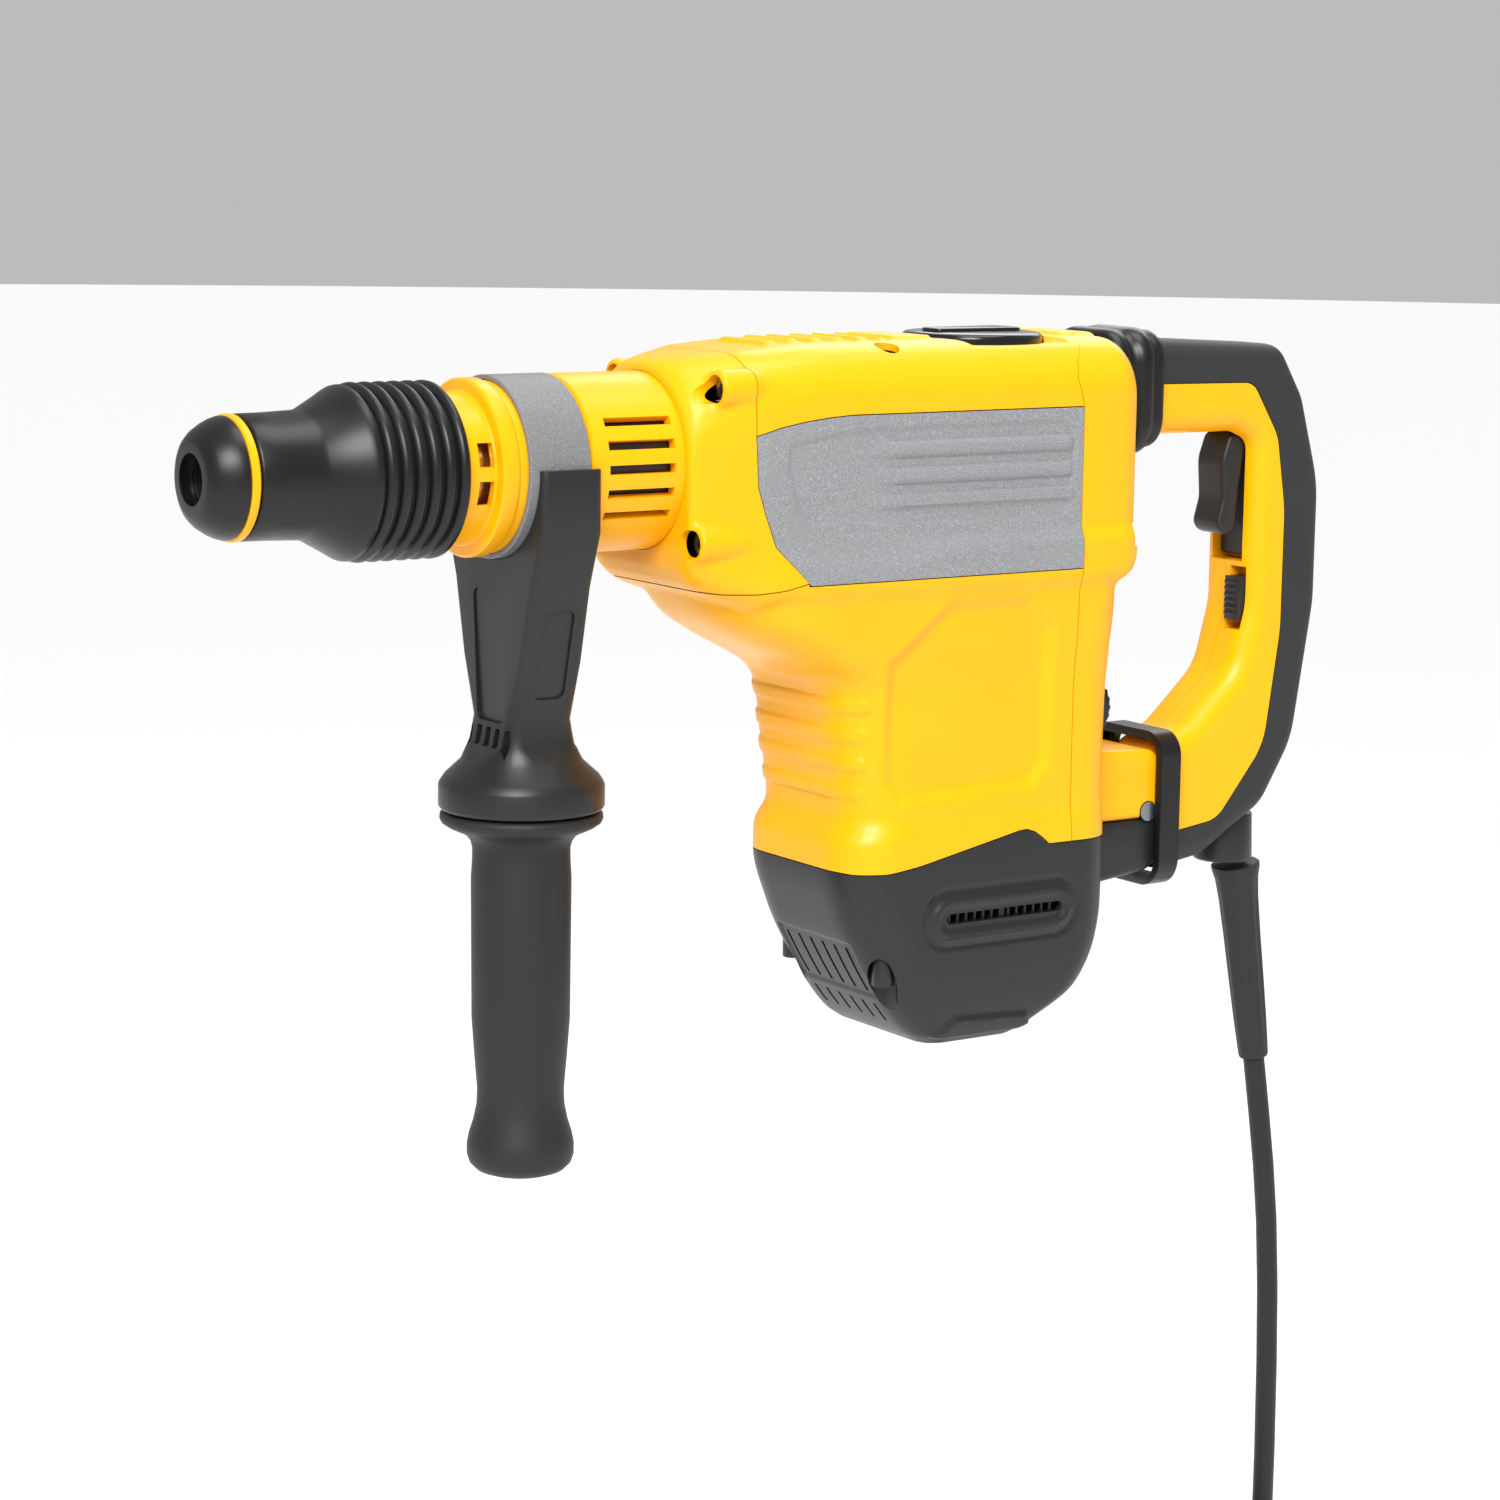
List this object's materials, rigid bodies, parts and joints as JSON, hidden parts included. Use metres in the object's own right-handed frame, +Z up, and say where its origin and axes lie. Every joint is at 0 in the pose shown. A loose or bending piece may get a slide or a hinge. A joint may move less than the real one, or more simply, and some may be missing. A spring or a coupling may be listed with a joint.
{
  "type": "demolition hammer",
  "caption": "Corded demolition hammer: chuck with sliding sleeve, clamped side handle, upright motor, sprung D-handle with trigger, and its power cord.",
  "frame": {"origin": "on the tool axis, at the middle of the round barrel behind the side handle", "axes": "+X along the tool axis to the rear, towards the D-handle; the chuck points along -X; +Z up; +Y to the operator's right as the operator looks along the chuck"},
  "size_m": [0.5222, 0.1374, 0.5912],
  "materials": {
    "yellow_plastic": "satin moulded nylon",
    "black_plastic": "fine grained nylon",
    "black_rubber": "soft moulded rubber",
    "grey_panel": "speckled silver grey",
    "grey_strap": "speckled grey coating",
    "steel": "turned",
    "dark_steel": "blackened",
    "aluminium": "cast",
    "copper": "turned copper",
    "brass": "sintered bronze",
    "carbon": "pressed graphite in a holder"
  },
  "bodies": {
    "casing": {"barrel_frame": "aluminium", "barrel_shroud": "yellow_plastic", "carbon_brush_left": "carbon", "carbon_brush_right": "carbon", "cover_screw_1": "steel", "cover_screw_2": "steel", "cover_screw_3": "steel", "cover_screw_4": "steel", "damper_spring": "steel", "front_bush": "brass", "front_cover": "yellow_plastic", "gear_frame": "aluminium", "handle_bellows": "black_rubber", "lower_gaiter": "black_rubber", "motor_cap": "black_plastic", "motor_housing": "yellow_plastic", "pivot_pin": "steel", "rear_cover": "yellow_plastic", "side_panel_left": "grey_panel", "side_panel_right": "grey_panel", "speed_controller": "black_plastic", "stator": "dark_steel", "upper_housing": "yellow_plastic"},
    "spindle": {"tool_holder": "steel", "locking_bar_left": "dark_steel", "locking_bar_right": "dark_steel", "nose_cap": "black_rubber", "chuck_ring": "yellow_plastic", "sleeve_spring": "steel", "cylinder": "steel", "crown_gear": "steel"},
    "sleeve": {"chuck_sleeve": "black_rubber"},
    "beater": {"beat_piece": "steel"},
    "striker": {"ram": "dark_steel"},
    "piston": {"piston": "aluminium"},
    "rod": {"connecting_rod": "aluminium"},
    "crank": {"crankshaft": "steel"},
    "idler": {"idler_shaft": "steel"},
    "armature": {"armature_shaft": "steel", "armature_core": "dark_steel", "commutator": "copper", "cooling_fan": "black_plastic"},
    "selector": {"mode_selector": "black_plastic"},
    "wheel": {"speed_wheel": "black_plastic"},
    "side_handle": {"clamp_strap": "grey_strap", "handle_bracket": "black_plastic"},
    "side_grip": {"side_grip": "black_rubber", "clamp_bolt": "steel"},
    "d_handle": {"handle_shell_left": "yellow_plastic", "handle_shell_right": "yellow_plastic", "handle_cover": "black_rubber", "switch_body": "black_plastic", "cord_gland": "black_plastic", "strain_relief": "black_rubber", "power_cord": "black_rubber", "cord_coil": "black_rubber", "plug": "black_plastic"},
    "trigger": {"trigger": "black_plastic"},
    "slider": {"lock_slider": "black_plastic"}
  },
  "joints": [
    {"name": "spindle_spin", "type": "hinge", "parent": "casing", "child": "spindle", "pos_m": [-0.031, 0, 0], "axis": [1, 0, 0], "continuous": true},
    {"name": "sleeve_slide", "type": "slide", "parent": "spindle", "child": "sleeve", "axis": [1, 0, 0], "range_m": [0, 0.01], "stiffness_N_per_m": 900, "springref_m": -0.004},
    {"name": "beat_slide", "type": "slide", "parent": "casing", "child": "beater", "axis": [1, 0, 0], "range_m": [0, 0.01]},
    {"name": "ram_slide", "type": "slide", "parent": "casing", "child": "striker", "axis": [1, 0, 0], "range_m": [-0.012, 0.03]},
    {"name": "piston_slide", "type": "slide", "parent": "casing", "child": "piston", "axis": [1, 0, 0], "range_m": [0, 0.024]},
    {"name": "rod_swing", "type": "hinge", "parent": "piston", "child": "rod", "pos_m": [0.1245, 0, 0], "axis": [0, 0, 1], "range_deg": [-13, 13]},
    {"name": "crank_spin", "type": "hinge", "parent": "casing", "child": "crank", "pos_m": [0.1885, 0, 0], "axis": [0, 0, 1], "continuous": true},
    {"name": "idler_spin", "type": "hinge", "parent": "casing", "child": "idler", "pos_m": [0.12975, 0, 0], "axis": [0, 0, 1], "continuous": true},
    {"name": "armature_spin", "type": "hinge", "parent": "casing", "child": "armature", "pos_m": [0.156, 0, 0], "axis": [0, 0, 1], "continuous": true},
    {"name": "mode_turn", "type": "hinge", "parent": "casing", "child": "selector", "pos_m": [0.1715, 0, 0.04], "axis": [0, 0, 1], "range_deg": [-90, 90]},
    {"name": "speed_turn", "type": "hinge", "parent": "casing", "child": "wheel", "pos_m": [0.211, -0.022, -0.104], "axis": [0, 1, 0], "range_deg": [-135, 135]},
    {"name": "side_handle_turn", "type": "hinge", "parent": "casing", "child": "side_handle", "pos_m": [-0.0345, 0, 0], "axis": [1, 0, 0], "continuous": true},
    {"name": "grip_screw", "type": "hinge", "parent": "side_handle", "child": "side_grip", "pos_m": [-0.031, 0, -0.19], "axis": [0, 0, 1], "continuous": true},
    {"name": "handle_rock", "type": "hinge", "parent": "casing", "child": "d_handle", "pos_m": [0.252, 0, -0.15], "axis": [0, 1, 0], "range_deg": [-1, 1], "stiffness_Nm_per_rad": 900},
    {"name": "trigger_pull", "type": "hinge", "parent": "d_handle", "child": "trigger", "pos_m": [0.31, 0, 0.0005], "axis": [0, -1, 0], "range_deg": [0, 5], "stiffness_Nm_per_rad": 2, "springref_deg": -8.59},
    {"name": "lock_slide", "type": "slide", "parent": "d_handle", "child": "slider", "axis": [0, 0, 1], "range_m": [-0.003, 0.003]}
  ],
  "couplings": [
    {"joint": "idler_spin", "follows": "spindle_spin", "ratio": -3},
    {"joint": "armature_spin", "follows": "spindle_spin", "ratio": 12.75},
    {"joint": "crank_spin", "follows": "spindle_spin", "ratio": -2.3182}
  ]
}
